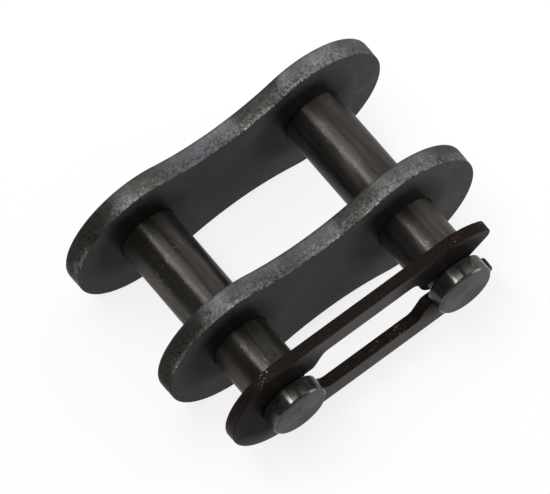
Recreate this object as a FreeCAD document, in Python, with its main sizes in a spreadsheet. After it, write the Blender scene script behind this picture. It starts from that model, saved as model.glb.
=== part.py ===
import FreeCAD, Part
import math
import os
import Sketcher

# Connecting link of a roller chain, standing on the edges of its two side plates.
# X runs along the chain, Y along the pins with the clip at the -Y side, and Z is up.
# The origin is on the ground, under the middle of the link's box.

doc = FreeCAD.newDocument("connecting_link")

# Driving dimensions in millimetres, and one angle in degrees
SIZES = [
    ("pitch", 25.4, "distance between the axes of the two pins"),
    ("plate_height", 21.4, "height of a side plate at its round ends"),
    ("waist_height", 17.0, "height of a side plate at its waist"),
    ("plate_thickness", 2.8, "thickness of each side plate"),
    ("die_roll", 0.4, "rounding of a side plate's far edge, where the punch drew the strip in"),
    ("burr_round", 0.15, "rounding of a side plate's near edge, where the blank broke off"),
    ("plate_gap", 15.8, "space between the two side plates as the link is shown"),
    ("slip_clearance", 0.05, "radial gap between a pin and the cover plate's hole"),
    ("pin_diameter", 7.94, "diameter of a pin's shank and of its tip"),
    ("pin_reach", 30.7, "length of a pin from the riveted plate's inner face to its tip"),
    ("tip_length", 2.45, "length of the tip beyond the clip's groove"),
    ("tip_chamfer", 0.3, "chamfer at the end of the tip"),
    ("groove_depth", 0.97, "radial depth of the clip's groove"),
    ("rivet_overhang", 0.75, "how far the riveted end is spread beyond the shank"),
    ("rivet_rim", 0.3, "height of the straight rim of the riveted end"),
    ("rivet_height", 1.1, "height of the riveted end above the plate"),
    ("clip_thickness", 1.6, "thickness of the spring clip"),
    ("clip_play", 0.08, "gap on each side of the clip in its grooves"),
    ("seat_clearance", 0.06, "radial gap between the clip and a groove's core"),
    ("leg_width", 3.3, "width of each leg of the clip"),
    ("window_clearance", 1.23, "radial room for a pin's tip in the clip's window"),
    ("neck_length", 4.1, "distance from a pin's axis to the foot of the window's shoulder"),
    ("shoulder_run", 1.7, "length of a window's shoulder along the clip"),
    ("shoulder_round", 0.8, "rounding at the foot of a shoulder"),
    ("window_round", 1.2, "rounding in a corner of the window"),
    ("mouth_bite", 0.7, "how far each lip of the mouth closes over the groove's core"),
    ("mouth_angle", 33, "angle between a side of the mouth and the clip's middle line"),
    ("lip_round", 0.4, "rounding of the mouth's lips"),
    ("bow_lead", 0.5, "how far before the open end's pin the legs begin to curve in"),
    ("bow_spread", 0.7, "how much larger that curve's radius is than half the clip's width"),
    ("finger_round", 1.1, "rounding of the clip's two free ends"),
    ("clip_edge_round", 0.15, "rounding of the clip's edges"),
]

# Lengths in millimetres that differ by less than this count as the same
CLOSE = 0.01
# The least volume, in cubic millimetres, that a cut has to take away
LEAST_CUT = 1.0
# Two faces that turn by more than this many degrees meet in a sharp edge
SHARP_TURN = 20

sheet = doc.addObject("Spreadsheet::Sheet", "sizes")
for row, (alias, number, meaning) in enumerate(SIZES, start=1):
    sheet.set(f"A{row}", meaning)
    sheet.set(f"B{row}", str(number))
    sheet.setAlias(f"B{row}", alias)
doc.recompute()

# Sizes that follow from the driving ones
PIN_AXIS_X = "sizes.pitch / 2"
PIN_AXIS_Z = "sizes.plate_height / 2"
PIN_RADIUS = "sizes.pin_diameter / 2"
CORE_RADIUS = f"({PIN_RADIUS} - sizes.groove_depth)"
HOLE_RADIUS = f"{PIN_RADIUS} + sizes.slip_clearance"
GROOVE_FAR = "(sizes.pin_reach - sizes.tip_length)"
GROOVE_NEAR = f"({GROOVE_FAR} - sizes.clip_thickness - 2 * sizes.clip_play)"
RIVET_TOP = "(sizes.plate_thickness + sizes.rivet_height)"
# Y of the riveted plate's inner face, with the pins' two ends as far from the origin
INNER_FACE_Y = f"(sizes.pin_reach - {RIVET_TOP}) / 2"


def value(formula):
    """The formula's number, read from the sheet."""
    return float(sheet.evalExpression(formula))


def new_body(name, y_formula, x_formula="0"):
    """A body whose own origin lies on the pins' level, at the given place along the pins."""
    body = doc.addObject("PartDesign::Body", name)
    body.Label = name
    body.setExpression("Placement.Base.x", x_formula)
    body.setExpression("Placement.Base.y", y_formula)
    body.setExpression("Placement.Base.z", PIN_AXIS_Z)
    return body


def new_sketch(body, name, role):
    """A sketch on one of the body's own origin planes."""
    sketch = body.newObject("Sketcher::SketchObject", name)
    plane = next(feature for feature in body.Origin.OriginFeatures if feature.Role == role)
    sketch.AttachmentSupport = [(plane, "")]
    sketch.MapMode = "FlatFace"
    return sketch


def bind(sketch, name, formula, kind, *where):
    """A dimension of the sketch that follows the sheet."""
    index = sketch.addConstraint(Sketcher.Constraint(kind, *where, value(formula)))
    sketch.renameConstraint(index, name)
    sketch.setExpression(f"Constraints.{name}", formula)


def rule(sketch, kind, *where):
    """A constraint of the sketch that has no size."""
    sketch.addConstraint(Sketcher.Constraint(kind, *where))


def arc(centre_x, centre_y, radius, start, end):
    circle = Part.Circle(FreeCAD.Vector(centre_x, centre_y, 0), FreeCAD.Vector(0, 0, 1), radius)
    return Part.ArcOfCircle(circle, start, end)


def line(x1, y1, x2, y2):
    return Part.LineSegment(FreeCAD.Vector(x1, y1, 0), FreeCAD.Vector(x2, y2, 0))


def polygon(sketch, corners):
    """A closed run of straight edges, and the number of its first edge."""
    first = sketch.GeometryCount
    count = len(corners)
    for i in range(count):
        sketch.addGeometry(line(*corners[i], *corners[(i + 1) % count]), False)
    for i in range(count):
        rule(sketch, "Coincident", first + i, 2, first + (i + 1) % count, 1)
    return first


def stadium(sketch, radius_formula):
    """An outline that runs round both pins' axes at the given radius."""
    half = value(PIN_AXIS_X)
    radius = value(radius_formula)
    right = sketch.addGeometry(arc(half, 0, radius, -math.pi / 2, math.pi / 2), False)
    top = sketch.addGeometry(line(half, radius, -half, radius), False)
    left = sketch.addGeometry(arc(-half, 0, radius, math.pi / 2, 1.5 * math.pi), False)
    bottom = sketch.addGeometry(line(-half, -radius, half, -radius), False)
    rule(sketch, "Tangent", right, 2, top, 1)
    rule(sketch, "Tangent", top, 2, left, 1)
    rule(sketch, "Tangent", left, 2, bottom, 1)
    rule(sketch, "Tangent", bottom, 2, right, 1)
    rule(sketch, "PointOnObject", right, 3, -1)
    rule(sketch, "PointOnObject", left, 3, -1)
    bind(sketch, "right_axis", PIN_AXIS_X, "DistanceX", -1, 1, right, 3)
    bind(sketch, "left_axis", PIN_AXIS_X, "DistanceX", left, 3, -1, 1)
    bind(sketch, "end_radius", radius_formula, "Radius", right)


def new_pad(body, name, sketch, length_formula):
    """A sheet-metal blank, as thick on each side of its sketch."""
    pad = body.newObject("PartDesign::Pad", name)
    pad.Profile = sketch
    pad.Midplane = True
    pad.setExpression("Length", length_formula)
    doc.recompute()
    return pad


def new_cut(body, name, sketch):
    """A cut right through the body, which has to take something away."""
    before = body.Shape.Volume
    cut = body.newObject("PartDesign::Pocket", name)
    cut.Profile = sketch
    cut.Type = "ThroughAll"
    cut.Midplane = True
    doc.recompute()
    if cut.Shape.Volume > before - LEAST_CUT:
        raise RuntimeError(f"{name} cuts nothing")
    return cut


def new_fillet(body, name, base, radius_formula, chosen):
    """Rounds the edges of base for which chosen is true."""
    edges = [f"Edge{i}" for i, edge in enumerate(base.Shape.Edges, start=1) if chosen(edge)]
    if not edges:
        raise RuntimeError(f"{name} finds no edge")
    fillet = body.newObject("PartDesign::Fillet", name)
    fillet.Base = (base, edges)
    fillet.setExpression("Radius", radius_formula)
    doc.recompute()
    return fillet


def is_upright(edge):
    """Whether the edge runs straight through the sheet's thickness."""
    box = edge.BoundBox
    return box.YLength > CLOSE and box.XLength < CLOSE and box.ZLength < CLOSE


def is_corner(edge, x, z):
    """Whether the edge runs through the thickness at x, at the height z above or below the middle."""
    centre = edge.BoundBox.Center
    return is_upright(edge) and abs(centre.x - x) < CLOSE and abs(abs(centre.z) - z) < CLOSE


def is_in_face(edge):
    """Whether the edge lies in one of the sheet's two flat faces."""
    return edge.BoundBox.YLength < CLOSE


def is_sharp(edge, feature):
    """Whether the two faces that meet at an upright edge turn a corner there."""
    middle = edge.valueAt((edge.FirstParameter + edge.LastParameter) / 2)
    normals = []
    for face in feature.Shape.ancestorsOfType(edge, Part.Face):
        u, v = face.Surface.parameter(middle)
        normals.append(face.normalAt(u, v))
    return normals[0].getAngle(normals[1]) > math.radians(SHARP_TURN)


# Side plates

def side_plate(name, hole_formula, y_formula):
    """A stamped plate: two round heads joined by an arc at the waist, with a hole in each head."""
    body = new_body(name, y_formula)
    sketch = new_sketch(body, f"{name}_outline", "XZ_Plane")
    half = value(PIN_AXIS_X)
    head = value("sizes.plate_height / 2")
    waist = value("sizes.waist_height / 2")
    hole = value(hole_formula)
    # the waist's arc touches both heads and crosses the middle at the waist's height
    waist_arc_formula = (
        "(sizes.pitch * sizes.pitch + sizes.waist_height * sizes.waist_height"
        " - sizes.plate_height * sizes.plate_height)"
        " / (4 * (sizes.plate_height - sizes.waist_height))"
    )
    waist_arc = value(waist_arc_formula)
    centre_z = waist + waist_arc
    lean = math.atan2(centre_z, half)
    right = sketch.addGeometry(arc(half, 0, head, lean - math.pi, math.pi - lean), False)
    top = sketch.addGeometry(arc(0, centre_z, waist_arc, lean - math.pi, -lean), False)
    left = sketch.addGeometry(arc(-half, 0, head, lean, 2 * math.pi - lean), False)
    bottom = sketch.addGeometry(arc(0, -centre_z, waist_arc, lean, math.pi - lean), False)
    rule(sketch, "Tangent", right, 2, top, 2)
    rule(sketch, "Tangent", top, 1, left, 1)
    rule(sketch, "Tangent", left, 2, bottom, 2)
    rule(sketch, "Tangent", bottom, 1, right, 1)
    rule(sketch, "Equal", right, left)
    rule(sketch, "Equal", top, bottom)
    rule(sketch, "PointOnObject", right, 3, -1)
    rule(sketch, "PointOnObject", left, 3, -1)
    bind(sketch, "right_head", PIN_AXIS_X, "DistanceX", -1, 1, right, 3)
    bind(sketch, "left_head", PIN_AXIS_X, "DistanceX", left, 3, -1, 1)
    bind(sketch, "head_radius", "sizes.plate_height / 2", "Radius", right)
    bind(sketch, "waist_radius", waist_arc_formula, "Radius", top)
    holes = []
    for head_arc in (right, left):
        centre = sketch.Geometry[head_arc].Center
        circle = Part.Circle(centre, FreeCAD.Vector(0, 0, 1), hole)
        index = sketch.addGeometry(circle, False)
        rule(sketch, "Coincident", index, 3, head_arc, 3)
        holes.append(index)
    rule(sketch, "Equal", *holes)
    bind(sketch, "hole_radius", hole_formula, "Radius", holes[0])
    pad = new_pad(body, f"{name}_blank", sketch, "sizes.plate_thickness")

    def on_outline(edge, side):
        around_hole = edge.BoundBox.ZLength < 2 * hole + CLOSE
        return is_in_face(edge) and edge.BoundBox.Center.y * side > 0 and not around_hole

    rolled = new_fillet(body, f"{name}_die_roll", pad, "sizes.die_roll", lambda e: on_outline(e, 1))
    new_fillet(body, f"{name}_burr_edge", rolled, "sizes.burr_round", lambda e: on_outline(e, -1))
    return body


riveted_plate = side_plate(
    "riveted_plate", PIN_RADIUS, f"{INNER_FACE_Y} + sizes.plate_thickness / 2"
)
cover_plate = side_plate(
    "cover_plate", HOLE_RADIUS, f"{INNER_FACE_Y} - sizes.plate_gap - sizes.plate_thickness / 2"
)


# Pins

def link_pin(name, x_formula):
    """A turned pin: chamfered tip, groove for the clip, plain shank, and an end spread over the plate."""
    body = new_body(name, INNER_FACE_Y, x_formula)
    sketch = new_sketch(body, f"{name}_profile", "XY_Plane")
    radius = value(PIN_RADIUS)
    core = value(CORE_RADIUS)
    reach = value("sizes.pin_reach")
    chamfer = value("sizes.tip_chamfer")
    groove_far = value(GROOVE_FAR)
    groove_near = value(GROOVE_NEAR)
    plate = value("sizes.plate_thickness")
    rivet = value(f"{PIN_RADIUS} + sizes.rivet_overhang")
    rim = value("sizes.plate_thickness + sizes.rivet_rim")
    top = value(RIVET_TOP)
    # from the tip's middle, out and along the pin to the riveted end's rim
    corners = [
        (0, -reach),
        (radius - chamfer, -reach),
        (radius, chamfer - reach),
        (radius, -groove_far),
        (core, -groove_far),
        (core, -groove_near),
        (radius, -groove_near),
        (radius, plate),
        (rivet, plate),
        (rivet, rim),
    ]
    edges = []
    for start, end in zip(corners, corners[1:]):
        edges.append(sketch.addGeometry(line(*start, *end), False))
    # the riveted end's dome is part of a ball that is centred on the pin's axis
    sag = top - rim
    ball = (rivet * rivet + sag * sag) / (2 * sag)
    dome = sketch.addGeometry(arc(0, top - ball, ball, math.asin((ball - sag) / ball), math.pi / 2), False)
    axis = sketch.addGeometry(line(0, top, 0, -reach), False)
    for before, after in zip(edges, edges[1:]):
        rule(sketch, "Coincident", before, 2, after, 1)
    rule(sketch, "Coincident", edges[-1], 2, dome, 1)
    rule(sketch, "Coincident", dome, 2, axis, 1)
    rule(sketch, "Coincident", axis, 2, edges[0], 1)
    rule(sketch, "PointOnObject", axis, 1, -2)
    rule(sketch, "PointOnObject", axis, 2, -2)
    rule(sketch, "PointOnObject", dome, 3, -2)
    # the end face, the groove's two walls and the seat on the plate lie across the pin
    for across in (0, 3, 5, 7):
        rule(sketch, "Horizontal", edges[across])
    # the tip, the groove's core, the shank and the riveted end's rim lie along it
    for along in (2, 4, 6, 8):
        rule(sketch, "Vertical", edges[along])
    rule(sketch, "PointOnObject", edges[6], 1, edges[2])
    bind(sketch, "shank_radius", PIN_RADIUS, "DistanceX", -1, 1, edges[2], 1)
    bind(sketch, "core_radius", CORE_RADIUS, "DistanceX", -1, 1, edges[4], 1)
    bind(sketch, "rivet_radius", f"{PIN_RADIUS} + sizes.rivet_overhang", "DistanceX", -1, 1, edges[8], 1)
    bind(sketch, "end_face_radius", f"{PIN_RADIUS} - sizes.tip_chamfer", "DistanceX", -1, 1, edges[0], 2)
    bind(sketch, "reach", "sizes.pin_reach", "DistanceY", edges[0], 1, -1, 1)
    bind(sketch, "chamfer_end", "sizes.pin_reach - sizes.tip_chamfer", "DistanceY", edges[1], 2, -1, 1)
    bind(sketch, "groove_far", GROOVE_FAR, "DistanceY", edges[3], 1, -1, 1)
    bind(sketch, "groove_near", GROOVE_NEAR, "DistanceY", edges[5], 1, -1, 1)
    bind(sketch, "plate_face", "sizes.plate_thickness", "DistanceY", -1, 1, edges[7], 1)
    bind(sketch, "rim_end", "sizes.plate_thickness + sizes.rivet_rim", "DistanceY", -1, 1, edges[8], 2)
    bind(sketch, "rivet_end", RIVET_TOP, "DistanceY", -1, 1, dome, 2)
    turned = body.newObject("PartDesign::Revolution", f"{name}_turned")
    turned.Profile = sketch
    turned.ReferenceAxis = (sketch, ["V_Axis"])
    turned.Angle = 360
    doc.recompute()
    return body


closed_end_pin = link_pin("closed_end_pin", f"-{PIN_AXIS_X}")
open_end_pin = link_pin("open_end_pin", PIN_AXIS_X)


# Spring clip

SEAT_RADIUS = f"({CORE_RADIUS} + sizes.seat_clearance)"
WINDOW_HALF = f"({PIN_RADIUS} + sizes.window_clearance)"
CLIP_HALF = f"({WINDOW_HALF} + sizes.leg_width)"
SHOULDER_FOOT = f"({PIN_AXIS_X} - sizes.neck_length)"
SHOULDER_HEAD = f"({SHOULDER_FOOT} - sizes.shoulder_run)"
BOW_X = f"({PIN_AXIS_X} - sizes.bow_lead)"
BOW_RADIUS = f"({CLIP_HALF} + sizes.bow_spread)"
LIP_HALF = f"({CORE_RADIUS} - sizes.mouth_bite)"
LIP_X = f"({PIN_AXIS_X} + sqrt({SEAT_RADIUS} * {SEAT_RADIUS} - {LIP_HALF} * {LIP_HALF}))"
CLIP_Y = f"{INNER_FACE_Y} - {GROOVE_FAR} + sizes.clip_play + sizes.clip_thickness / 2"


def clip_outline(sketch):
    """The blank's outline: a half circle, two straight legs, and two curves that meet at the open end."""
    half_pitch = value(PIN_AXIS_X)
    half = value(CLIP_HALF)
    bow_x = value(BOW_X)
    bow = value(BOW_RADIUS)
    meet = math.asin((bow - half) / bow)
    left = sketch.addGeometry(arc(-half_pitch, 0, half, math.pi / 2, 1.5 * math.pi), False)
    bottom = sketch.addGeometry(line(-half_pitch, -half, bow_x, -half), False)
    lower = sketch.addGeometry(arc(bow_x, bow - half, bow, -math.pi / 2, -meet), False)
    upper = sketch.addGeometry(arc(bow_x, half - bow, bow, meet, math.pi / 2), False)
    top = sketch.addGeometry(line(bow_x, half, -half_pitch, half), False)
    rule(sketch, "Tangent", left, 2, bottom, 1)
    rule(sketch, "Tangent", bottom, 2, lower, 1)
    rule(sketch, "Coincident", lower, 2, upper, 1)
    rule(sketch, "Tangent", upper, 2, top, 1)
    rule(sketch, "Tangent", top, 2, left, 1)
    rule(sketch, "Horizontal", bottom)
    rule(sketch, "Horizontal", top)
    rule(sketch, "PointOnObject", left, 3, -1)
    rule(sketch, "PointOnObject", upper, 1, -1)
    rule(sketch, "Equal", lower, upper)
    bind(sketch, "closed_end_axis", PIN_AXIS_X, "DistanceX", left, 3, -1, 1)
    bind(sketch, "closed_end_radius", CLIP_HALF, "Radius", left)
    bind(sketch, "bow_centre", BOW_X, "DistanceX", -1, 1, upper, 3)
    bind(sketch, "bow_radius", BOW_RADIUS, "Radius", upper)


def clip_body():
    """A flat clip, round at the closed end, with a window between its legs and a mouth at the open end."""
    body = new_body("spring_clip", CLIP_Y)
    blank_outline = new_sketch(body, "clip_outline", "XZ_Plane")
    clip_outline(blank_outline)
    new_pad(body, "clip_blank", blank_outline, "sizes.clip_thickness")

    # a slot as wide as the grooves' cores runs from pin to pin
    seat_outline = new_sketch(body, "seat_slot_outline", "XZ_Plane")
    stadium(seat_outline, SEAT_RADIUS)
    new_cut(body, "seat_slot", seat_outline)

    # the window between the legs, wide enough for a pin's tip
    window_outline = new_sketch(body, "window_outline", "XZ_Plane")
    head_x = value(SHOULDER_HEAD)
    foot_x = value(SHOULDER_FOOT)
    head_z = value(WINDOW_HALF)
    foot_z = value(SEAT_RADIUS)
    edge = polygon(
        window_outline,
        [
            (head_x, head_z),
            (-head_x, head_z),
            (-foot_x, foot_z),
            (-foot_x, -foot_z),
            (-head_x, -head_z),
            (head_x, -head_z),
            (foot_x, -foot_z),
            (foot_x, foot_z),
        ],
    )
    rule(window_outline, "Symmetric", edge, 1, edge, 2, -2)
    rule(window_outline, "Symmetric", edge + 2, 1, edge + 7, 1, -2)
    rule(window_outline, "Symmetric", edge + 2, 1, edge + 2, 2, -1)
    rule(window_outline, "Symmetric", edge + 6, 1, edge + 7, 1, -1)
    rule(window_outline, "Symmetric", edge, 1, edge + 5, 1, -1)
    rule(window_outline, "Symmetric", edge, 2, edge + 4, 1, -1)
    bind(window_outline, "head_x", SHOULDER_HEAD, "DistanceX", -1, 1, edge, 1)
    bind(window_outline, "head_z", WINDOW_HALF, "DistanceY", -1, 1, edge, 1)
    bind(window_outline, "foot_x", SHOULDER_FOOT, "DistanceX", -1, 1, edge + 7, 1)
    bind(window_outline, "foot_z", SEAT_RADIUS, "DistanceY", -1, 1, edge + 7, 1)
    new_cut(body, "window", window_outline)

    # the mouth opens from the lips at the last pin out past the clip's end
    mouth_outline = new_sketch(body, "mouth_outline", "XZ_Plane")
    lip_x = value(LIP_X)
    lip_z = value(LIP_HALF)
    run = value(CLIP_HALF)
    rise = run * math.tan(math.radians(value("sizes.mouth_angle")))
    edge = polygon(
        mouth_outline,
        [
            (lip_x, lip_z),
            (lip_x, -lip_z),
            (lip_x + run, -lip_z - rise),
            (lip_x + run, lip_z + rise),
        ],
    )
    rule(mouth_outline, "Symmetric", edge, 1, edge, 2, -1)
    rule(mouth_outline, "Symmetric", edge + 2, 1, edge + 2, 2, -1)
    bind(mouth_outline, "lip_x", LIP_X, "DistanceX", -1, 1, edge, 1)
    bind(mouth_outline, "lip_z", LIP_HALF, "DistanceY", -1, 1, edge, 1)
    bind(mouth_outline, "run", CLIP_HALF, "DistanceX", edge, 1, edge + 3, 1)
    bind(
        mouth_outline,
        "rise",
        f"{CLIP_HALF} * tan(sizes.mouth_angle * 1 deg)",
        "DistanceY",
        edge,
        1,
        edge + 3,
        1,
    )
    mouth = new_cut(body, "mouth", mouth_outline)

    rounded = new_fillet(
        body,
        "shoulder_feet",
        mouth,
        "sizes.shoulder_round",
        lambda e: is_corner(e, foot_x, foot_z) or is_corner(e, -foot_x, foot_z),
    )
    rounded = new_fillet(
        body,
        "window_corners",
        rounded,
        "sizes.window_round",
        lambda e: is_corner(e, head_x, head_z) or is_corner(e, -head_x, head_z),
    )
    rounded = new_fillet(body, "lips", rounded, "sizes.lip_round", lambda e: is_corner(e, lip_x, lip_z))
    # the only sharp upright edges left beyond the lips are those of the two free ends
    finger_x = lip_x + value("sizes.lip_round")
    rounded = new_fillet(
        body,
        "fingers",
        rounded,
        "sizes.finger_round",
        lambda e: is_upright(e) and e.BoundBox.Center.x > finger_x and is_sharp(e, rounded),
    )
    new_fillet(body, "clip_edges", rounded, "sizes.clip_edge_round", is_in_face)
    return body


spring_clip = clip_body()


# Check and write

doc.recompute()
for item in doc.Objects:
    if "Invalid" in item.State or "Error" in item.State:
        raise RuntimeError(f"{item.Label} did not build: {item.State}")

os.makedirs("parts", exist_ok=True)
for body in (riveted_plate, closed_end_pin, open_end_pin, cover_plate, spring_clip):
    if body.Shape.isNull() or not body.Shape.isValid() or len(body.Shape.Solids) != 1:
        raise RuntimeError(f"{body.Label} is not one valid solid")
    body.Shape.exportStep(f"parts/{body.Label}.step")
    box = body.Shape.BoundBox
    print(
        f"{body.Label}: volume {body.Shape.Volume:.1f} mm3,"
        f" x {box.XMin:.2f} to {box.XMax:.2f}, y {box.YMin:.2f} to {box.YMax:.2f},"
        f" z {box.ZMin:.2f} to {box.ZMax:.2f}"
    )
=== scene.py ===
import math

import bmesh
import bpy
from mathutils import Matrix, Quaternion, Vector, noise


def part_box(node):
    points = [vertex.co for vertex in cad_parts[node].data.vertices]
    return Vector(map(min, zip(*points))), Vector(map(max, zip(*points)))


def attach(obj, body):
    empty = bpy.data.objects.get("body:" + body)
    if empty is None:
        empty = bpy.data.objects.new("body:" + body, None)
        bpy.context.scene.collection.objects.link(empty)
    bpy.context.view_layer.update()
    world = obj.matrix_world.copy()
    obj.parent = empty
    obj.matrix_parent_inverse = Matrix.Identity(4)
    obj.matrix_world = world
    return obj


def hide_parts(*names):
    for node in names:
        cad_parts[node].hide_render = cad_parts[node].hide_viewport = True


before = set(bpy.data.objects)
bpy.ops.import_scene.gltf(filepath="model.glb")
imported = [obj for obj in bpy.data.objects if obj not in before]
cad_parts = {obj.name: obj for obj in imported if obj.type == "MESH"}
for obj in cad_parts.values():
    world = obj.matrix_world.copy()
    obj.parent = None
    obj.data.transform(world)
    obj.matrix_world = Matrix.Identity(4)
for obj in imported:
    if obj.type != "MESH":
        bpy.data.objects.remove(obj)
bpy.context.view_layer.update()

# Riveted plate
# The side plate that carries both pins. It is blanked from carbon-steel strip, hardened, tumbled and oiled.
# Its faces are nearly black, and the shear leaves a smooth band and a torn, grainy band round its edge.

MM = 0.001
plate_low, plate_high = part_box("riveted_plate")
AXIS_Z = (plate_low.z + plate_high.z) / 2
HEAD_RADIUS = (plate_high.z - plate_low.z) / 2
HALF_PITCH = plate_high.x - HEAD_RADIUS
WAIST_HALF = 8.5 * MM
PIN_RADIUS = 3.97 * MM
BURR_ROUND = 0.15 * MM
DIE_ROLL = 0.4 * MM
FLAT_RIM = 0.06 * MM
PLATE_STEP = 0.14 * MM
ROUND_STEPS = 5
FEWEST_STEPS = 4

# The torn band and the burr beside the near face, as shares of the thickness
TORN_HEIGHT = 0.45
TORN_WANDER = 0.22
TORN_FADE = 0.12
BURR_START = 0.05
BURR_END = 0.26

# How far the torn band is set back, how deep the edge's grain is, and what shares of that depth the smooth
# band's grain and the slow ripples have. The finish adds the last one, a finer relief.
PLATE_TEAR = 0.035 * MM
PLATE_GRAIN = 0.012 * MM
SMOOTH_GRAIN = 0.25
RIPPLE_SHARE = 0.4
PLATE_RELIEF = 0.02 * MM

# Waves and crumbs to the metre
WANDER_SCALE = 420
RIPPLE_SCALE = 700
CRUMB_SCALE = 3600
SHADING_SCALE = 500

# Painted shade on the sheared edge: each spot's place along and up the plate, its reach and its strength.
# A strength below 0 paints a highlight.
RIVETED_EDGE_SHADING = [
    (6.0 * MM, 20.0 * MM, 5.0 * MM, 1.0),
    (-19.5 * MM, 17.0 * MM, 9.0 * MM, 1.35),
    (16.4 * MM, 20.7 * MM, 3.8 * MM, -0.6),
]
SHADING_CORE = 0.4
SHADING_RAGGED = 0.35

# Painted shade round each pin on the faces, set a little beside the pin's axis, to its left and above it,
# where the pin's shadow falls
SHADE_DRIFT_X = -1.5 * MM
SHADE_DRIFT_Z = 2.0 * MM
PLATE_SHADE_REACH = 8.5 * MM

FACE_BLACK = (0.038, 0.038, 0.037)
FACE_GREY = (0.048, 0.047, 0.048)
FACE_SMEAR = (0.062, 0.058, 0.061)
# The colour of the painted shade round the pins
FACE_SHADE = (0.010, 0.010, 0.009)
EDGE_OLIVE = (0.078, 0.076, 0.069)
EDGE_GREY = (0.103, 0.100, 0.103)
EDGE_VIOLET = (0.142, 0.137, 0.152)
EDGE_SHADE = (0.030, 0.033, 0.028)
EDGE_HIGHLIGHT = (0.22, 0.215, 0.225)
BURR_RUBBED = (0.16, 0.155, 0.13)
BURR_BROKEN = (0.022, 0.022, 0.020)
PLATE_SPECK = (0.46, 0.45, 0.41)


def arc_run(centre_x, centre_z, radius, start, end, step):
    """Points along an arc in the plates' plane, the last one left out."""
    count = max(FEWEST_STEPS, round(abs(end - start) * radius / step))
    turns = [start + (end - start) * i / count for i in range(count)]
    return [(centre_x + radius * math.cos(turn), centre_z + radius * math.sin(turn)) for turn in turns]


def plate_outline():
    """Two round heads joined by a hollow arc above and below."""
    spread = HEAD_RADIUS - WAIST_HALF
    hollow = (HALF_PITCH ** 2 + WAIST_HALF ** 2 - HEAD_RADIUS ** 2) / (2 * spread)
    rise = WAIST_HALF + hollow
    lean = math.atan2(rise, HALF_PITCH)
    return (
        arc_run(HALF_PITCH, AXIS_Z, HEAD_RADIUS, lean - math.pi, math.pi - lean, PLATE_STEP)
        + arc_run(0, AXIS_Z + rise, hollow, -lean, lean - math.pi, PLATE_STEP)
        + arc_run(-HALF_PITCH, AXIS_Z, HEAD_RADIUS, lean, 2 * math.pi - lean, PLATE_STEP)
        + arc_run(0, AXIS_Z - rise, hollow, math.pi - lean, lean, PLATE_STEP)
    )


def pin_hole(centre_x, radius):
    """A round hole's loop, run the other way than the outline."""
    return arc_run(centre_x, AXIS_Z, radius, 2 * math.pi, 0, PLATE_STEP)


def way_out(loop, i):
    """The direction out of the steel at point i of a loop."""
    before = loop[i - 1]
    after = loop[(i + 1) % len(loop)]
    run = Vector((after[0] - before[0], after[1] - before[1])).normalized()
    return run.y, -run.x


def rounded_rim(face_y, radius, way):
    """Rows of the rounding from a face to the sheared wall. Way is -1 at the near face, 1 at the far one."""
    rows = []
    for i in range(ROUND_STEPS + 1):
        turn = math.pi / 2 * i / ROUND_STEPS
        out, along = math.sin(turn), math.cos(turn)
        rows.append((radius * (1 - out), face_y - way * radius * (1 - along), out, way * along))
    return rows


def blank_section(near_y, far_y, near_round, far_round, step):
    """Rows across the sheared edge: how far in, where along the thickness, and which way the steel faces."""
    height = far_y - near_y - near_round - far_round
    count = round(height / step)
    wall = [(0.0, near_y + near_round + height * i / count, 1.0, 0.0) for i in range(1, count)]
    near_rim = [(near_round + FLAT_RIM, near_y, 0.0, -1.0), *rounded_rim(near_y, near_round, -1)]
    far_rim = [(far_round + FLAT_RIM, far_y, 0.0, 1.0), *rounded_rim(far_y, far_round, 1)]
    return near_rim + wall + far_rim[::-1]


def soft_step(low, high, x):
    """From 0 at low to 1 at high, without corners."""
    share = min(1.0, max(0.0, (x - low) / (high - low)))
    return share * share * (3 - 2 * share)


def crumble(place, scale):
    """Noise of three layers, each twice as fine as the one before and half as strong."""
    return noise.fractal(place * scale, 1.0, 2.0, 3)


def edge_shading(place, spots):
    """How strongly shade is painted on a sheared edge.

    Painted shade of strength 1 darkens the smooth band and shows less in the torn one. More of it darkens
    both.
    A strength below 0 is a painted highlight.
    """
    total = 0.0
    for x, z, reach, thickness in spots:
        away = math.hypot(place.x - x, place.z - z) + SHADING_RAGGED * reach * noise.noise(place * SHADING_SCALE)
        total += thickness * (1 - soft_step(SHADING_CORE * reach, reach, away))
    return total


def pairs_round(ring):
    """Each point of a closed ring with the next one."""
    return zip(ring, ring[1:] + ring[:1])


def join_rings(bm, rings):
    """Faces between each ring of points and the next ring."""
    for lower, upper in zip(rings, rings[1:]):
        for (near, next_near), (far, next_far) in zip(pairs_round(lower), pairs_round(upper)):
            bm.faces.new((near, next_near, next_far, far))


def finished_piece(bm, name):
    """The mesh as a piece of the scene, shaded smooth."""
    bmesh.ops.recalc_face_normals(bm, faces=bm.faces)
    mesh = bpy.data.meshes.new(name)
    bm.to_mesh(mesh)
    bm.free()
    mesh.shade_smooth()
    piece = bpy.data.objects.new(name, mesh)
    bpy.context.scene.collection.objects.link(piece)
    return piece


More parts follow.
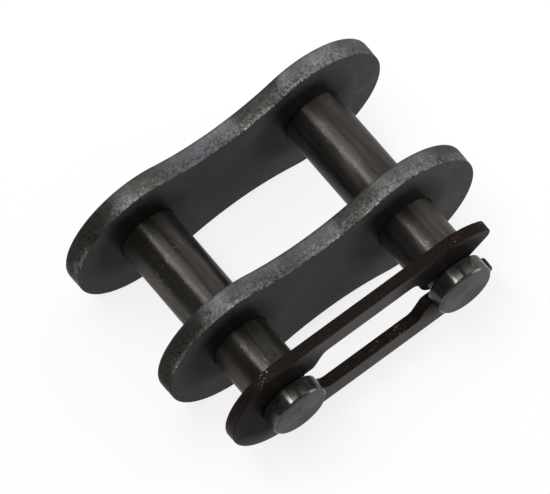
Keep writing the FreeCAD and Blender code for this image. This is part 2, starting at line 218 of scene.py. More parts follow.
def stamped_sheet(name, loops, near_y, far_y, near_round, far_round, step, tear, grain, spots):
    """A blank cut from strip. Next to the near face its edge is torn, so it is set back and grainy there."""
    bm = bmesh.new()
    torn_layer = bm.verts.layers.float.new("torn")
    burr_layer = bm.verts.layers.float.new("burr")
    wall_layer = bm.verts.layers.float.new("wall")
    # How strongly shade is painted at each point of the edge; below 0 it is a painted highlight
    shading_layer = bm.verts.layers.float.new("painted_shading")
    thickness = far_y - near_y
    fade = TORN_FADE * thickness
    burr_start = near_y + BURR_START * thickness
    burr_end = near_y + BURR_END * thickness
    rows = blank_section(near_y, far_y, near_round, far_round, step)
    near_edges, far_edges = [], []
    for loop in loops:
        rings = [[] for _ in rows]
        for i, (x, z) in enumerate(loop):
            out_x, out_z = way_out(loop, i)
            wander = noise.noise(Vector((x, 0, z)) * WANDER_SCALE)
            torn_to = near_y + thickness * (TORN_HEIGHT + TORN_WANDER * wander)
            for ring, (inset, y, out, along) in zip(rings, rows):
                place = Vector((x, y, z))
                torn = out * (1 - soft_step(torn_to - fade, torn_to + fade, y))
                crumb = crumble(place, CRUMB_SCALE)
                ripple = noise.noise(place * RIPPLE_SCALE)
                push = -torn * tear + grain * (SMOOTH_GRAIN + torn) * crumb + RIPPLE_SHARE * grain * ripple
                push = min(0.0, push * out)
                inset_here = inset - push * out
                point = bm.verts.new((x - out_x * inset_here, y + along * push, z - out_z * inset_here))
                point[torn_layer] = torn
                point[burr_layer] = 1 - soft_step(burr_start, burr_end, y)
                point[wall_layer] = out
                point[shading_layer] = edge_shading(place, spots)
                ring.append(point)
        join_rings(bm, rings)
        near_edges += [bm.edges.get(pair) for pair in pairs_round(rings[0])]
        far_edges += [bm.edges.get(pair) for pair in pairs_round(rings[-1])]
    # The filling needs lengths well above its own tolerance, so it is done in millimetres.
    bmesh.ops.scale(bm, vec=(1 / MM, 1 / MM, 1 / MM), verts=bm.verts)
    bmesh.ops.triangle_fill(bm, use_beauty=True, edges=near_edges, normal=(0, -1, 0))
    bmesh.ops.triangle_fill(bm, use_beauty=True, edges=far_edges, normal=(0, 1, 0))
    bmesh.ops.scale(bm, vec=(MM, MM, MM), verts=bm.verts)
    return finished_piece(bm, name)


def side_plate(name, low, high, hole_radius, spots):
    """A side plate between its solid's two corners, with a hole for each pin. Its burr faces the clip."""
    return stamped_sheet(
        name,
        [plate_outline(), pin_hole(HALF_PITCH, hole_radius), pin_hole(-HALF_PITCH, hole_radius)],
        low.y,
        high.y,
        BURR_ROUND,
        DIE_ROLL,
        PLATE_STEP,
        PLATE_TEAR,
        PLATE_GRAIN,
        spots,
    )


def new_finish(name):
    """A new material, its node tree and its shader, and the place on the piece in metres."""
    finish = bpy.data.materials.new(name)
    finish.use_nodes = True
    tree = finish.node_tree
    shader = tree.nodes["Principled BSDF"]
    place = tree.nodes.new("ShaderNodeTexCoord").outputs["Object"]
    return finish, tree, shader, place


def grains(tree, place, scale, detail=3.0, roughness=0.55, stretch=(1, 1, 1)):
    """A noise pattern on the piece, from 0 to 1, with scale grains to the metre."""
    mapping = tree.nodes.new("ShaderNodeMapping")
    mapping.inputs["Scale"].default_value = stretch
    tree.links.new(place, mapping.inputs["Vector"])
    pattern = tree.nodes.new("ShaderNodeTexNoise")
    pattern.inputs["Scale"].default_value = scale
    pattern.inputs["Detail"].default_value = detail
    pattern.inputs["Roughness"].default_value = roughness
    tree.links.new(mapping.outputs["Vector"], pattern.inputs["Vector"])
    return pattern.outputs["Fac"]


def opaque(tone):
    """A colour, or a grey given as one number, in the form that colour sockets and ramps take."""
    return (*tone, 1) if isinstance(tone, tuple) else (tone, tone, tone, 1)


def feed(tree, socket, given):
    """Gives a socket what another socket puts out, or a plain number or colour."""
    if isinstance(given, bpy.types.NodeSocket):
        tree.links.new(given, socket)
    elif socket.type == "RGBA":
        socket.default_value = opaque(given)
    else:
        socket.default_value = given


def ramp(tree, share, *stops):
    """Colours or greys that follow a share from 0 to 1. A stop is its place and its colour or grey."""
    node = tree.nodes.new("ShaderNodeValToRGB")
    band = node.color_ramp
    while len(band.elements) < len(stops):
        band.elements.new(0.5)
    for element, (where, tone) in zip(band.elements, stops):
        element.position = where
        element.color = opaque(tone)
    feed(tree, node.inputs["Fac"], share)
    return node.outputs["Color"]


def mixed(tree, share, first, second, way="MIX"):
    """Two colours or greys mixed by a share. Each is a socket or a plain value."""
    node = tree.nodes.new("ShaderNodeMix")
    node.data_type = "RGBA"
    node.blend_type = way
    # A Mix node has its inputs and outputs once for each kind of data. These are the ones for colours.
    share_socket, first_socket, second_socket = node.inputs[0], node.inputs[6], node.inputs[7]
    feed(tree, share_socket, share)
    feed(tree, first_socket, first)
    feed(tree, second_socket, second)
    return node.outputs[2]


def worked(tree, way, first, second):
    """A sum of two values, or a product, or the like. Each is a socket or a number."""
    node = tree.nodes.new("ShaderNodeMath")
    node.operation = way
    feed(tree, node.inputs[0], first)
    feed(tree, node.inputs[1], second)
    return node.outputs[0]


def kept_on_mesh(tree, name):
    """A value that the mesh holds at each of its points."""
    node = tree.nodes.new("ShaderNodeAttribute")
    node.attribute_name = name
    return node.outputs["Fac"]


def off_pins(tree, place, drift_x=0.0, drift_z=0.0):
    """How far a place is, across the plates, from the nearer pin's axis or from a line beside it."""
    flat = tree.nodes.new("ShaderNodeMapping")
    flat.inputs["Scale"].default_value = (1, 0, 1)
    tree.links.new(place, flat.inputs["Vector"])
    ways = []
    for pin_x in (-HALF_PITCH, HALF_PITCH):
        away = tree.nodes.new("ShaderNodeVectorMath")
        away.operation = "DISTANCE"
        tree.links.new(flat.outputs["Vector"], away.inputs[0])
        away.inputs[1].default_value = (pin_x + drift_x, 0, AXIS_Z + drift_z)
        ways.append(away.outputs["Value"])
    return worked(tree, "MINIMUM", ways[0], ways[1])


def shade_by_pins(tree, place, reach):
    """1 where shade is painted round a pin, and 0 farther off. It lies a little to one side of the pin, where
    the pin's shadow falls.
    """
    nearest = worked(tree, "DIVIDE", off_pins(tree, place, SHADE_DRIFT_X, SHADE_DRIFT_Z), reach)
    uneven = worked(tree, "MULTIPLY", grains(tree, place, 300), 0.3)
    return ramp(tree, worked(tree, "SUBTRACT", nearest, uneven), (0.48, 1.0), (0.84, 0.0))


def roughen(tree, shader, height, depth):
    """Small relief that the light shows, this deep in metres."""
    node = tree.nodes.new("ShaderNodeBump")
    node.inputs["Strength"].default_value = 1.0
    node.inputs["Distance"].default_value = depth
    feed(tree, node.inputs["Height"], height)
    feed(tree, shader.inputs["Normal"], node.outputs["Normal"])


def sheared_grain(tree, place):
    """The crumbs that the shear leaves on an edge, from 0 in a hollow to 1 on a crest."""
    return grains(tree, place, 2600, detail=4.0, roughness=0.7)


def plate_face(tree, place, smears):
    """The colour of the flat faces: faint smears and clouds on black, and painted shade round the pins."""
    face = ramp(tree, smears, (0.32, FACE_BLACK), (0.50, FACE_GREY), (0.68, FACE_SMEAR))
    cloud = ramp(tree, grains(tree, place, 1300, detail=5.0, roughness=0.7), (0.35, 0.82), (0.65, 1.18))
    face = mixed(tree, 1.0, face, cloud, way="MULTIPLY")
    return mixed(tree, shade_by_pins(tree, place, PLATE_SHADE_REACH), face, FACE_SHADE)


def plate_edge(tree, place, crumbs, torn, burr):
    """The colour of the sheared edge: sheen or grit, painted shade and a painted highlight in places, and a
    rubbed, broken burr.
    """
    patches = grains(tree, place, 150, roughness=0.6, stretch=(1, 1.8, 1))
    edge = ramp(tree, patches, (0.36, EDGE_OLIVE), (0.50, EDGE_GREY), (0.64, EDGE_VIOLET))
    # Painted shade darkens the edge in places, and a painted highlight lightens it where the strength is
    # below 0.
    painted_shading = kept_on_mesh(tree, "painted_shading")
    edge_shaded = worked(tree, "SUBTRACT", painted_shading, ramp(tree, torn, (0.2, 0.06), (0.9, 0.32)))
    edge = mixed(tree, edge_shaded, edge, EDGE_SHADE)
    edge_lit = worked(tree, "MULTIPLY", painted_shading, -1.0)
    edge = mixed(tree, edge_lit, edge, EDGE_HIGHLIGHT)
    sheen = ramp(tree, crumbs, (0.34, 0.78), (0.66, 1.18))
    grit = ramp(tree, crumbs, (0.36, 0.46), (0.5, 0.92), (0.64, 1.5))
    edge = mixed(tree, 1.0, edge, mixed(tree, torn, sheen, grit), way="MULTIPLY")
    drawn = ramp(tree, grains(tree, place, 1300, detail=2.0, stretch=(1, 0.3, 1)), (0.36, 0.90), (0.62, 1.06))
    edge = mixed(tree, 1.0, edge, drawn, way="MULTIPLY")
    rubbed_and_highlit = worked(tree, "MULTIPLY", burr, ramp(tree, grains(tree, place, 240), (0.42, 0.0), (0.58, 0.6)))
    edge = mixed(tree, rubbed_and_highlit, edge, BURR_RUBBED)
    hollows = worked(tree, "SUBTRACT", 1.0, crumbs)
    broken = ramp(tree, worked(tree, "MULTIPLY", burr, hollows), (0.50, 0.0), (0.57, 1.0))
    return mixed(tree, broken, edge, BURR_BROKEN)


def plate_glints(tree, place, wall, torn, burr):
    """Where bright specks stand: in patches along the burr, and weaker ones up the torn band."""
    specks = ramp(tree, grains(tree, place, 3900, detail=2.0, roughness=0.6), (0.57, 0.0), (0.66, 1.0))
    patches = ramp(tree, grains(tree, place, 230), (0.45, 0.0), (0.60, 1.0))
    band = worked(tree, "MAXIMUM", burr, worked(tree, "MULTIPLY", torn, 0.35))
    zone = worked(tree, "MULTIPLY", wall, band)
    return worked(tree, "MULTIPLY", worked(tree, "MULTIPLY", specks, patches), zone)


def oiled_plate_steel():
    """Black, oily faces with faint smears, and a violet-grey sheared edge with bright specks by its burr."""
    finish, tree, shader, place = new_finish("oiled_plate_steel")
    wall = kept_on_mesh(tree, "wall")
    torn = kept_on_mesh(tree, "torn")
    burr = kept_on_mesh(tree, "burr")
    smears = grains(tree, place, 170, detail=4.0, roughness=0.6, stretch=(1, 1, 0.6))
    crumbs = sheared_grain(tree, place)
    steel = mixed(tree, wall, plate_face(tree, place, smears), plate_edge(tree, place, crumbs, torn, burr))
    steel = mixed(tree, plate_glints(tree, place, wall, torn, burr), steel, PLATE_SPECK)
    feed(tree, shader.inputs["Base Color"], steel)
    feed(tree, shader.inputs["Metallic"], mixed(tree, wall, 0.12, 0.7))
    shader.inputs["Specular IOR Level"].default_value = 0.025
    shader.inputs["Specular Tint"].default_value = (0.45, 0.45, 0.45, 1)
    face_gloss = ramp(tree, smears, (0.25, 0.36), (0.75, 0.48))
    edge_gloss = ramp(tree, crumbs, (0.3, 0.58), (0.7, 0.42))
    feed(tree, shader.inputs["Roughness"], mixed(tree, wall, face_gloss, edge_gloss))
    coarseness = worked(tree, "ADD", worked(tree, "MULTIPLY", torn, 0.75), 0.25)
    roughen(tree, shader, worked(tree, "MULTIPLY", crumbs, coarseness), PLATE_RELIEF)
    return finish


riveted_plate = side_plate("riveted_side_plate", plate_low, plate_high, PIN_RADIUS, RIVETED_EDGE_SHADING)
plate_finish = oiled_plate_steel()
riveted_plate.data.materials.append(plate_finish)
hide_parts("riveted_plate")
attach(riveted_plate, "pin_plate")

# Pins
# Two plain pins, turned from alloy-steel bar, hardened and ground. Each has a groove for the clip near its
# tip. The other end is pressed through the riveted plate and spun over into a low dome.

TIP_CHAMFER = 0.3 * MM
TIP_LENGTH = 2.45 * MM
TIP_MIDDLE = 0.15 * MM
TIP_FACE_DEPTH = 0.03 * MM
GROOVE_WIDTH = 1.76 * MM
GROOVE_CORE = 3.0 * MM
EDGE_BREAK = 0.06 * MM
RIVET_RIM = 0.3 * MM
RIVET_UNEVEN = 0.12 * MM
RIVET_SCALE = 500
DOME_POWER = 2.4
PIN_RELIEF = 0.014 * MM
FAR_FACE = plate_high.y
# Where round the pin the highlight line is painted, on its upper side a little towards the closed end, and
# how wide it is
HIGHLIGHT_TURN = math.radians(105)
HIGHLIGHT_SPREAD = math.radians(9)
QUARTER_TURN = 0.25
PIN_STEPS = 176
TIP_RINGS = 10
COLLAR_RINGS = 8
SHANK_RINGS = 60
DOME_RINGS = 14

SHANK_DARK = (0.038, 0.0355, 0.032)
SHANK_WORN = (0.078, 0.073, 0.067)
SHANK_SCUFF = (0.24, 0.225, 0.19)
# The painted highlight's flecks on the shank
SHANK_HIGHLIGHT = (0.26, 0.245, 0.21)
FILM_THICK = (0.58, 0.57, 0.50)
FILM_THIN = (0.84, 0.82, 0.79)
FILM_GONE = (1.12, 1.05, 1.06)
SPUN_DARK = (0.050, 0.047, 0.044)
SPUN_BRIGHT = (0.105, 0.100, 0.096)
TIP_DARK = (0.040, 0.038, 0.034)
TIP_BRIGHT = (0.098, 0.094, 0.085)
# The painted highlight on the tip
TIP_HIGHLIGHT = (0.20, 0.195, 0.175)
END_DARK = (0.056, 0.057, 0.057)
END_PALE = (0.080, 0.080, 0.080)


def spaced(start, end, count):
    """Points at even steps from start to end, the last one left out."""
    return [
        (start[0] + (end[0] - start[0]) * i / count, start[1] + (end[1] - start[1]) * i / count)
        for i in range(count)
    ]


def pin_outline(tip_y, end_y, rivet_radius):
    """Radius and place along the pin, from the middle of the tip's end to the middle of the riveted end."""
    groove_far = tip_y + TIP_LENGTH
    groove_near = groove_far + GROOVE_WIDTH
    face = PIN_RADIUS - TIP_CHAMFER
    soft = EDGE_BREAK
    nick = 0.3 * soft
    rim_end = FAR_FACE + RIVET_RIM
    run = spaced((TIP_MIDDLE, tip_y), (face - soft, tip_y), TIP_RINGS)
    run += [
        (face - soft, tip_y),
        (face, tip_y + nick),
        (PIN_RADIUS - soft / 2, tip_y + TIP_CHAMFER - nick),
        (PIN_RADIUS, tip_y + TIP_CHAMFER + soft),
    ]
    run += spaced((PIN_RADIUS, tip_y + TIP_CHAMFER + 2 * soft), (PIN_RADIUS, groove_far - soft), COLLAR_RINGS)
    run += [
        (PIN_RADIUS, groove_far - soft),
        (PIN_RADIUS - nick, groove_far - nick),
        (PIN_RADIUS - soft, groove_far),
        (GROOVE_CORE + soft, groove_far),
        (GROOVE_CORE, groove_far + soft),
        (GROOVE_CORE, groove_near - soft),
        (GROOVE_CORE + soft, groove_near),
        (PIN_RADIUS - soft, groove_near),
        (PIN_RADIUS - nick, groove_near + nick),
    ]
    run += spaced((PIN_RADIUS, groove_near + soft), (PIN_RADIUS, FAR_FACE), SHANK_RINGS)
    run += [
        (PIN_RADIUS, FAR_FACE),
        (rivet_radius - 2 * soft, FAR_FACE),
        (rivet_radius, FAR_FACE + 2 * soft),
        (rivet_radius, rim_end),
    ]
    dome = end_y - rim_end
    for i in range(1, DOME_RINGS):
        share = 1 - i / DOME_RINGS
        run.append((rivet_radius * share, rim_end + dome * (1 - share ** DOME_POWER)))
    return run


def turned_pin(name, node, x):
    """A pin turned about its own axis, with a painted highlight line along it, its riveted end a little
    uneven.
    """
    low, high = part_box(node)
    bm = bmesh.new()
    end_layer = bm.verts.layers.float.new("tip_face")
    tip_layer = bm.verts.layers.float.new("tip")
    rivet_layer = bm.verts.layers.float.new("riveted")
    highlight_layer = bm.verts.layers.float.new("rubbed_and_highlit")
    rings = []
    for radius, y in pin_outline(low.y, high.y, (high.z - low.z) / 2):
        on_rivet = y > FAR_FACE
        ring = []
        for i in range(PIN_STEPS):
            turn = 2 * math.pi * i / PIN_STEPS
            across = Vector((math.cos(turn), 0, math.sin(turn)))
            push = 0.0
            if on_rivet:
                place = across * radius + Vector((x, y, 0))
                push = min(0.0, RIVET_UNEVEN * crumble(place, RIVET_SCALE))
            spot = across * (radius + push)
            point = bm.verts.new((x + spot.x, y, AXIS_Z + spot.z))
            point[end_layer] = float(y < low.y + TIP_FACE_DEPTH)
            point[tip_layer] = float(y < low.y + TIP_LENGTH)
            point[rivet_layer] = float(on_rivet)
            # The painted highlight line, strongest at one turn round the pin
            point[highlight_layer] = math.exp(-((turn - HIGHLIGHT_TURN) / HIGHLIGHT_SPREAD) ** 2)
            ring.append(point)
        rings.append(ring)
    join_rings(bm, rings)
    for ring, y, layer in ((rings[0], low.y, end_layer), (rings[-1], high.y, rivet_layer)):
        middle = bm.verts.new((x, y, AXIS_Z))
        middle[layer] = 1.0
        for first, second in pairs_round(ring):
            bm.faces.new((first, second, middle))
    piece = finished_piece(bm, name)
    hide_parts(node)
    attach(piece, "pin_plate")
    return piece


def pin_shank(tree, place, streaks, film, rubbed_and_highlit):
    """The colour of the shank: worn streaks under the oil film, scuffs, and painted highlight flecks along
    one line.
    """
    shank = ramp(tree, streaks, (0.3, SHANK_DARK), (0.7, SHANK_WORN))
    shank = mixed(tree, 1.0, shank, film, way="MULTIPLY")
    scuffs = ramp(tree, grains(tree, place, 3200, stretch=(1, 0.4, 1)), (0.60, 0.0), (0.70, 0.5))
    scuffed = ramp(tree, grains(tree, place, 210), (0.52, 0.0), (0.66, 1.0))
    shank = mixed(tree, worked(tree, "MULTIPLY", scuffs, scuffed), shank, SHANK_SCUFF)
    # Painted highlight: bright flecks along the line where the lamps' highlight falls on the pin
    highlight_flecks = ramp(tree, grains(tree, place, 4000, stretch=(1, 0.5, 1)), (0.56, 0.0), (0.66, 1.0))
    highlight_patches = ramp(tree, grains(tree, place, 420, detail=2.0), (0.48, 0.0), (0.62, 0.5))
    on_highlight = worked(tree, "MULTIPLY", worked(tree, "MULTIPLY", highlight_flecks, highlight_patches), rubbed_and_highlit)
    return mixed(tree, on_highlight, shank, SHANK_HIGHLIGHT)


def pin_tip(tree, place, rubbed_and_highlit):
    """The colour of the tip: worn bright in places, and a painted highlight along the same line as on the
    shank.
    """
    tip = ramp(tree, grains(tree, place, 900, detail=4.0), (0.35, TIP_DARK), (0.65, TIP_BRIGHT))
    # Painted highlight along the same line on the tip
    return mixed(tree, worked(tree, "MULTIPLY", rubbed_and_highlit, 0.45), tip, TIP_HIGHLIGHT)


def ground_pin_steel():
    """Dark steel under an oil film, with a painted highlight along one line, worn bright places at the tip,
    and spun rings on the rivet.
    """
    finish, tree, shader, place = new_finish("ground_pin_steel")
    end_face = kept_on_mesh(tree, "tip_face")
    tip = kept_on_mesh(tree, "tip")
    riveted = kept_on_mesh(tree, "riveted")
    rubbed_and_highlit = kept_on_mesh(tree, "rubbed_and_highlit")
    streaks = grains(tree, place, 1100, detail=4.0, roughness=0.6, stretch=(1, 0.06, 1))
    blotches = grains(tree, place, 260, roughness=0.5, stretch=(1, 0.4, 1))
    rings = grains(tree, off_pins(tree, place), 7000)
    film = ramp(tree, blotches, (0.36, FILM_THICK), (0.50, FILM_THIN), (0.64, FILM_GONE))
    spun = ramp(tree, rings, (0.3, SPUN_DARK), (0.7, SPUN_BRIGHT))
    spun = mixed(tree, 0.6, spun, film, way="MULTIPLY")
    faced = ramp(tree, grains(tree, place, 1200, detail=4.0), (0.3, END_DARK), (0.7, END_PALE))
    steel = mixed(tree, riveted, pin_shank(tree, place, streaks, film, rubbed_and_highlit), spun)
    steel = mixed(tree, tip, steel, pin_tip(tree, place, rubbed_and_highlit))
    feed(tree, shader.inputs["Base Color"], mixed(tree, end_face, steel, faced))
    shader.inputs["Metallic"].default_value = 0.75
    shader.inputs["Specular IOR Level"].default_value = 0.35
    shader.inputs["Specular Tint"].default_value = (0.6, 0.6, 0.6, 1)
    round_pin = tree.nodes.new("ShaderNodeTangent")
    round_pin.direction_type = "RADIAL"
    round_pin.axis = "Y"
    feed(tree, shader.inputs["Tangent"], round_pin.outputs["Tangent"])
    shader.inputs["Anisotropic"].default_value = 0.7
    shader.inputs["Anisotropic Rotation"].default_value = QUARTER_TURN
    shank_gloss = ramp(tree, blotches, (0.3, 0.30), (0.7, 0.41))
    gloss = mixed(tree, end_face, mixed(tree, tip, shank_gloss, 0.18), 0.42)
    feed(tree, shader.inputs["Roughness"], gloss)
    dents = grains(tree, place, 1500, detail=2.0, stretch=(1, 0.35, 1))
    waves = worked(tree, "MULTIPLY", grains(tree, place, 430, detail=1.0, stretch=(1, 0.5, 1)), 5.0)
    ground = worked(tree, "ADD", worked(tree, "ADD", streaks, dents), waves)
    relief = worked(tree, "ADD", ground, worked(tree, "MULTIPLY", rings, riveted))
    roughen(tree, shader, relief, PIN_RELIEF)
    return finish


pin_finish = ground_pin_steel()
closed_end_pin = turned_pin("closed_end_turned_pin", "closed_end_pin", -HALF_PITCH)
open_end_pin = turned_pin("open_end_turned_pin", "open_end_pin", HALF_PITCH)
closed_end_pin.data.materials.append(pin_finish)
open_end_pin.data.materials.append(pin_finish)

# Cover plate
# The loose side plate. It is the same blank as the riveted one, but its two holes are a slip fit on the pins,
# so that it comes off by hand once the clip is out of the grooves.

SLIP_GAP = 0.05 * MM
# Painted shade on the cover's sheared edge: the riveted plate's spots, and two more on its left and right
# heads
COVER_EDGE_SHADING = [
    *RIVETED_EDGE_SHADING,
    (-22.0 * MM, 11.0 * MM, 9.0 * MM, 0.6),
    (20.0 * MM, 19.0 * MM, 9.0 * MM, 0.4),
]

cover_low, cover_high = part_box("cover_plate")
cover_plate = side_plate("loose_side_plate", cover_low, cover_high, PIN_RADIUS + SLIP_GAP, COVER_EDGE_SHADING)
cover_plate.data.materials.append(plate_finish)
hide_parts("cover_plate")
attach(cover_plate, "cover")

# Spring clip
# A flat clip, blanked from spring strip and tempered to a brown-black. It snaps along the link into both
# grooves. Its round end seats on one pin, and the lips of its mouth close behind the other.

clip_low, clip_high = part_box("spring_clip")
CLIP_HALF = (clip_high.z - clip_low.z) / 2
SEAT_RADIUS = 3.06 * MM
WINDOW_HALF = 5.2 * MM
SHOULDER_FOOT = 8.6 * MM
SHOULDER_HEAD = 6.9 * MM
SHOULDER_ROUND = 0.8 * MM
WINDOW_ROUND = 1.2 * MM
LIP_HALF = 2.3 * MM
LIP_ROUND = 0.4 * MM
MOUTH_ANGLE = math.radians(33)
BOW_X = 12.2 * MM
BOW_RADIUS = 9.2 * MM
FINGER_ROUND = 1.1 * MM
CLIP_EDGE_ROUND = 0.15 * MM
CLIP_STEP = 0.13 * MM
STEPS_PER_RADIAN = 6
CLIP_TEAR = 0.03 * MM
CLIP_GRAIN = 0.015 * MM
CLIP_RELIEF = 0.012 * MM
# How far the painted shade round the pins reaches on the clip
CLIP_SHADE_REACH = 9.5 * MM

CLIP_BLACK = (0.044, 0.041, 0.039)
CLIP_WARM = (0.074, 0.067, 0.063)
# The colour of the painted shade round the pins on the clip's face
CLIP_SHADE = (0.007, 0.0055, 0.005)
BROWN_DARK = (0.007, 0.005, 0.0043)
BROWN_PALE = (0.021, 0.015, 0.0128)
CLIP_SPECK = (0.34, 0.27, 0.21)


def straight_run(start, end):
    """Points along a straight stretch, the last one left out."""
    count = max(1, round(math.dist(start, end) / CLIP_STEP))
    return spaced(start, end, count)


def bend_run(centre, radius, start, end):
    """Points along one of the clip's bends, the last one left out."""
    return arc_run(centre[0], centre[1], radius, start, end, min(CLIP_STEP, radius / STEPS_PER_RADIAN))


def corner_run(before, corner, after, radius):
    """The rounding of a corner between two straight stretches."""
    corner = Vector(corner)
    back = (Vector(before) - corner).normalized()
    on = (Vector(after) - corner).normalized()
    half_angle = back.angle(on) / 2
    centre = corner + (back + on).normalized() * (radius / math.sin(half_angle))
    start = corner + back * (radius / math.tan(half_angle)) - centre
    end = corner + on * (radius / math.tan(half_angle)) - centre
    first = math.atan2(start.y, start.x)
    swing = math.remainder(math.atan2(end.y, end.x) - first, 2 * math.pi)
    return arc_run(centre.x, centre.y, radius, first, first + swing, radius / STEPS_PER_RADIAN)


def touching(round_centre, reach, line_start, line_way, side, gap):
    """How far along a line, and where, a circle lies gap from it and reach from another circle's centre."""
    start = line_start + side * gap - round_centre
    along = start.dot(line_way)
    far = -along + math.sqrt(along * along - start.length_squared + reach * reach)
    return far, round_centre + start + line_way * far


def upper_half():
    """The clip's outline above the middle: out round its closed end and leg, back by its mouth and window."""
    mouth_way = Vector((math.cos(MOUTH_ANGLE), math.sin(MOUTH_ANGLE)))
    mouth_side = Vector((-math.sin(MOUTH_ANGLE), math.cos(MOUTH_ANGLE)))
    lip = Vector((HALF_PITCH + math.sqrt(SEAT_RADIUS ** 2 - LIP_HALF ** 2), LIP_HALF))
    seat = Vector((HALF_PITCH, 0))
    bow = Vector((BOW_X, CLIP_HALF - BOW_RADIUS))
    finger_run, finger = touching(bow, BOW_RADIUS - FINGER_ROUND, lip, mouth_way, mouth_side, FINGER_ROUND)
    lip_run, lip_centre = touching(seat, SEAT_RADIUS + LIP_ROUND, lip, mouth_way, mouth_side, LIP_ROUND)
    finger_start = math.atan2(finger.y - bow.y, finger.x - bow.x)
    mouth_turn = MOUTH_ANGLE - math.pi / 2
    lip_turn = math.atan2(lip_centre.y, lip_centre.x - HALF_PITCH)
    foot = (SHOULDER_FOOT, SEAT_RADIUS)
    head = (SHOULDER_HEAD, WINDOW_HALF)
    far_head = (-SHOULDER_HEAD, WINDOW_HALF)
    far_foot = (-SHOULDER_FOOT, SEAT_RADIUS)
    open_top = (HALF_PITCH, SEAT_RADIUS)
    closed_top = (-HALF_PITCH, SEAT_RADIUS)
    points = bend_run((-HALF_PITCH, 0), CLIP_HALF, math.pi, math.pi / 2)
    points += straight_run((-HALF_PITCH, CLIP_HALF), (BOW_X, CLIP_HALF))
    points += bend_run(bow, BOW_RADIUS, math.pi / 2, finger_start)
    points += bend_run(finger, FINGER_ROUND, finger_start, mouth_turn)
    points += straight_run(lip + mouth_way * finger_run, lip + mouth_way * lip_run)
    points += bend_run(lip_centre, LIP_ROUND, mouth_turn, lip_turn - math.pi)
    points += bend_run(seat, SEAT_RADIUS, lip_turn, math.pi / 2)
    bends = [
        (open_top, foot, head, SHOULDER_ROUND),
        (foot, head, far_head, WINDOW_ROUND),
        (head, far_head, far_foot, WINDOW_ROUND),
        (far_head, far_foot, closed_top, SHOULDER_ROUND),
    ]
    last = open_top
    for before, corner, after, radius in bends:
        bend = corner_run(before, corner, after, radius)
        points += straight_run(last, bend[0]) + bend
        last = bend[-1]
    points += straight_run(last, closed_top)[1:]
    points += bend_run((-HALF_PITCH, 0), SEAT_RADIUS, math.pi / 2, math.pi)
    return points + [(-HALF_PITCH - SEAT_RADIUS, 0)]


def clip_outline():
    """The lower half, the upper one's mirror image, and then the upper half backwards."""
    upper = upper_half()
    lower = [(x, AXIS_Z - z) for x, z in upper]
    return lower + [(x, AXIS_Z + z) for x, z in reversed(upper[1:-1])]


def tempered_spring_steel():
    """Warm black steel with a brown cast on its sheared edge and a few bright specks, and painted shade round
    the pins on its face.
    """
    finish, tree, shader, place = new_finish("tempered_spring_steel")
    wall = kept_on_mesh(tree, "wall")
    smears = grains(tree, place, 230, detail=4.0, roughness=0.6)
    crumbs = sheared_grain(tree, place)
    # Painted shade round the pins darkens the face and takes away its gleam.
    painted_shading = shade_by_pins(tree, place, CLIP_SHADE_REACH)
    face = mixed(tree, painted_shading, ramp(tree, smears, (0.3, CLIP_BLACK), (0.7, CLIP_WARM)), CLIP_SHADE)
    specks = ramp(tree, grains(tree, place, 3400), (0.60, 0.0), (0.68, 1.0))
    patches = ramp(tree, grains(tree, place, 170, detail=2.0), (0.61, 0.0), (0.68, 0.8))
    edge = ramp(tree, crumbs, (0.3, BROWN_DARK), (0.7, BROWN_PALE))
    edge = mixed(tree, worked(tree, "MULTIPLY", specks, patches), edge, CLIP_SPECK)
    feed(tree, shader.inputs["Base Color"], mixed(tree, wall, face, edge))
    shaded_face = worked(tree, "MINIMUM", painted_shading, worked(tree, "SUBTRACT", 1.0, wall))
    unshaded = worked(tree, "SUBTRACT", 1.0, shaded_face)
    feed(tree, shader.inputs["Metallic"], worked(tree, "MULTIPLY", unshaded, 0.16))
    shader.inputs["Specular IOR Level"].default_value = 0.01
    feed(tree, shader.inputs["Roughness"], ramp(tree, smears, (0.3, 0.34), (0.7, 0.44)))
    roughen(tree, shader, crumbs, CLIP_RELIEF)
    return finish


spring_clip = stamped_sheet(
    "flat_spring_clip",
    [clip_outline()],
    clip_low.y,
    clip_high.y,
    CLIP_EDGE_ROUND,
    CLIP_EDGE_ROUND,
    CLIP_STEP,
    CLIP_TEAR,
    CLIP_GRAIN,
    [],
)
spring_clip.data.materials.append(tempered_spring_steel())
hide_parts("spring_clip")
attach(spring_clip, "clip")

# Floor and light
# A plain white table in a dim studio. A large soft panel stands at the open end's side, small ones stand in
# front and behind, and two more hang overhead. The table is shown near white and keeps the link's shadow.

FLOOR_HALF = 12.0
FLOOR_COLOUR = 0.95
FLOOR_LIFT = 0.8
HORIZON_LOW = 0.04
HORIZON_TOP = 0.09
WORLD_LEVEL = 0.11


def seen_directly(tree):
    """1 for what the camera sees, also in a mirror or through glass, and 0 for light on the link."""
    path = tree.nodes.new("ShaderNodeLightPath").outputs
    seen = worked(tree, "MAXIMUM", path["Is Camera Ray"], path["Is Glossy Ray"])
    return worked(tree, "MAXIMUM", seen, path["Is Transmission Ray"])


def white_table():
    """A dull white, lifted most of the way to full white where it is seen directly."""
    finish, tree, shader, _ = new_finish("white_table")
    shader.inputs["Base Color"].default_value = opaque(FLOOR_COLOUR)
    shader.inputs["Roughness"].default_value = 1.0
    shader.inputs["Specular IOR Level"].default_value = 0.0
    glow = tree.nodes.new("ShaderNodeEmission")
    glow.inputs["Strength"].default_value = 1.0
    lifted = tree.nodes.new("ShaderNodeMixShader")
    feed(tree, lifted.inputs["Fac"], worked(tree, "MULTIPLY", seen_directly(tree), FLOOR_LIFT))
    feed(tree, lifted.inputs[1], shader.outputs["BSDF"])
    feed(tree, lifted.inputs[2], glow.outputs["Emission"])
    feed(tree, tree.nodes["Material Output"].inputs["Surface"], lifted.outputs["Shader"])
    return finish


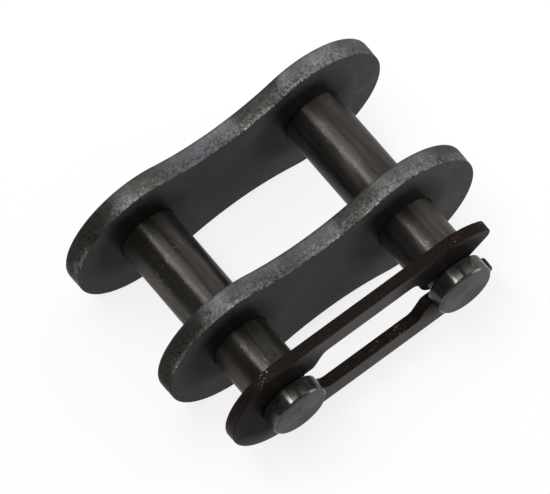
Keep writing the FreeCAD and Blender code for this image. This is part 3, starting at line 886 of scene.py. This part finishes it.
def dim_studio():
    """A dim grey room, white up to a little above the horizon."""
    world = bpy.data.worlds.new("studio")
    world.use_nodes = True
    tree = world.node_tree
    split = tree.nodes.new("ShaderNodeSeparateXYZ")
    feed(tree, split.inputs["Vector"], tree.nodes.new("ShaderNodeTexCoord").outputs["Generated"])
    studio = ramp(tree, split.outputs["Z"], (HORIZON_LOW, 1.0), (HORIZON_TOP, WORLD_LEVEL))
    sky = tree.nodes["Background"]
    feed(tree, sky.inputs["Color"], studio)
    sky.inputs["Strength"].default_value = 1.0
    return world


def soft_lamp(name, way, distance, size, share):
    """A square or oblong soft lamp that gives a white sheet facing it this share of its full white."""
    lamp = bpy.data.lights.new(name, "AREA")
    lamp.shape = "RECTANGLE"
    lamp.size, lamp.size_y = size
    lamp.energy = share * math.pi ** 2 * distance ** 2
    holder = bpy.data.objects.new(name, lamp)
    back = Vector(way).normalized()
    holder.location = Vector((0, 0, AXIS_Z)) + back * distance
    holder.rotation_mode = "QUATERNION"
    holder.rotation_quaternion = back.to_track_quat("Z", "Y")
    bpy.context.scene.collection.objects.link(holder)


floor_mesh = bpy.data.meshes.new("floor")
corners = [(x * FLOOR_HALF, y * FLOOR_HALF, 0) for x, y in ((-1, -1), (1, -1), (1, 1), (-1, 1))]
floor_mesh.from_pydata(corners, [], [(0, 1, 2, 3)])
floor_mesh.materials.append(white_table())
floor = bpy.data.objects.new("floor", floor_mesh)
bpy.context.scene.collection.objects.link(floor)

bpy.context.scene.world = dim_studio()
soft_lamp("right_panel", (0.9, -0.1, 0.66), 0.6, (0.6, 0.6), 0.48)
soft_lamp("strip_lamp", (-0.29, 0.0, 0.95), 0.6, (0.5, 0.11), 0.4)
soft_lamp("top_panel", (-0.04, 0.3, 0.95), 0.6, (0.4, 0.42), 0.38)
soft_lamp("front_panel", (0.85, -0.6, 0.12), 0.2, (0.12, 0.08), 0.45)
soft_lamp("back_panel", (-0.4, 1.0, 0.4), 0.6, (0.5, 0.3), 0.3)

# Camera
# It looks down on the clip's side from nearly a metre off. The lens is a long one, so the link's far side
# shows hardly smaller than its near side.

AZIMUTH = math.radians(-31.02)
ELEVATION = math.radians(65.2)
ROLL = math.radians(-7.27)
DISTANCE = 876 * MM
AIM = Vector((-1.96, 1.81, 11.58)) * MM
LENS = 469.8
SENSOR_WIDTH = 36

camera_data = bpy.data.cameras.new("camera")
camera_data.lens = LENS
camera_data.sensor_width = SENSOR_WIDTH
camera = bpy.data.objects.new("camera", camera_data)
back = Vector((
    math.sin(AZIMUTH) * math.cos(ELEVATION),
    -math.cos(AZIMUTH) * math.cos(ELEVATION),
    math.sin(ELEVATION),
))
camera.location = AIM + back * DISTANCE
camera.rotation_mode = "QUATERNION"
camera.rotation_quaternion = back.to_track_quat("Z", "Y") @ Quaternion((0, 0, 1), ROLL)
bpy.context.scene.collection.objects.link(camera)
bpy.context.scene.camera = camera
bpy.context.scene.view_settings.view_transform = "Standard"
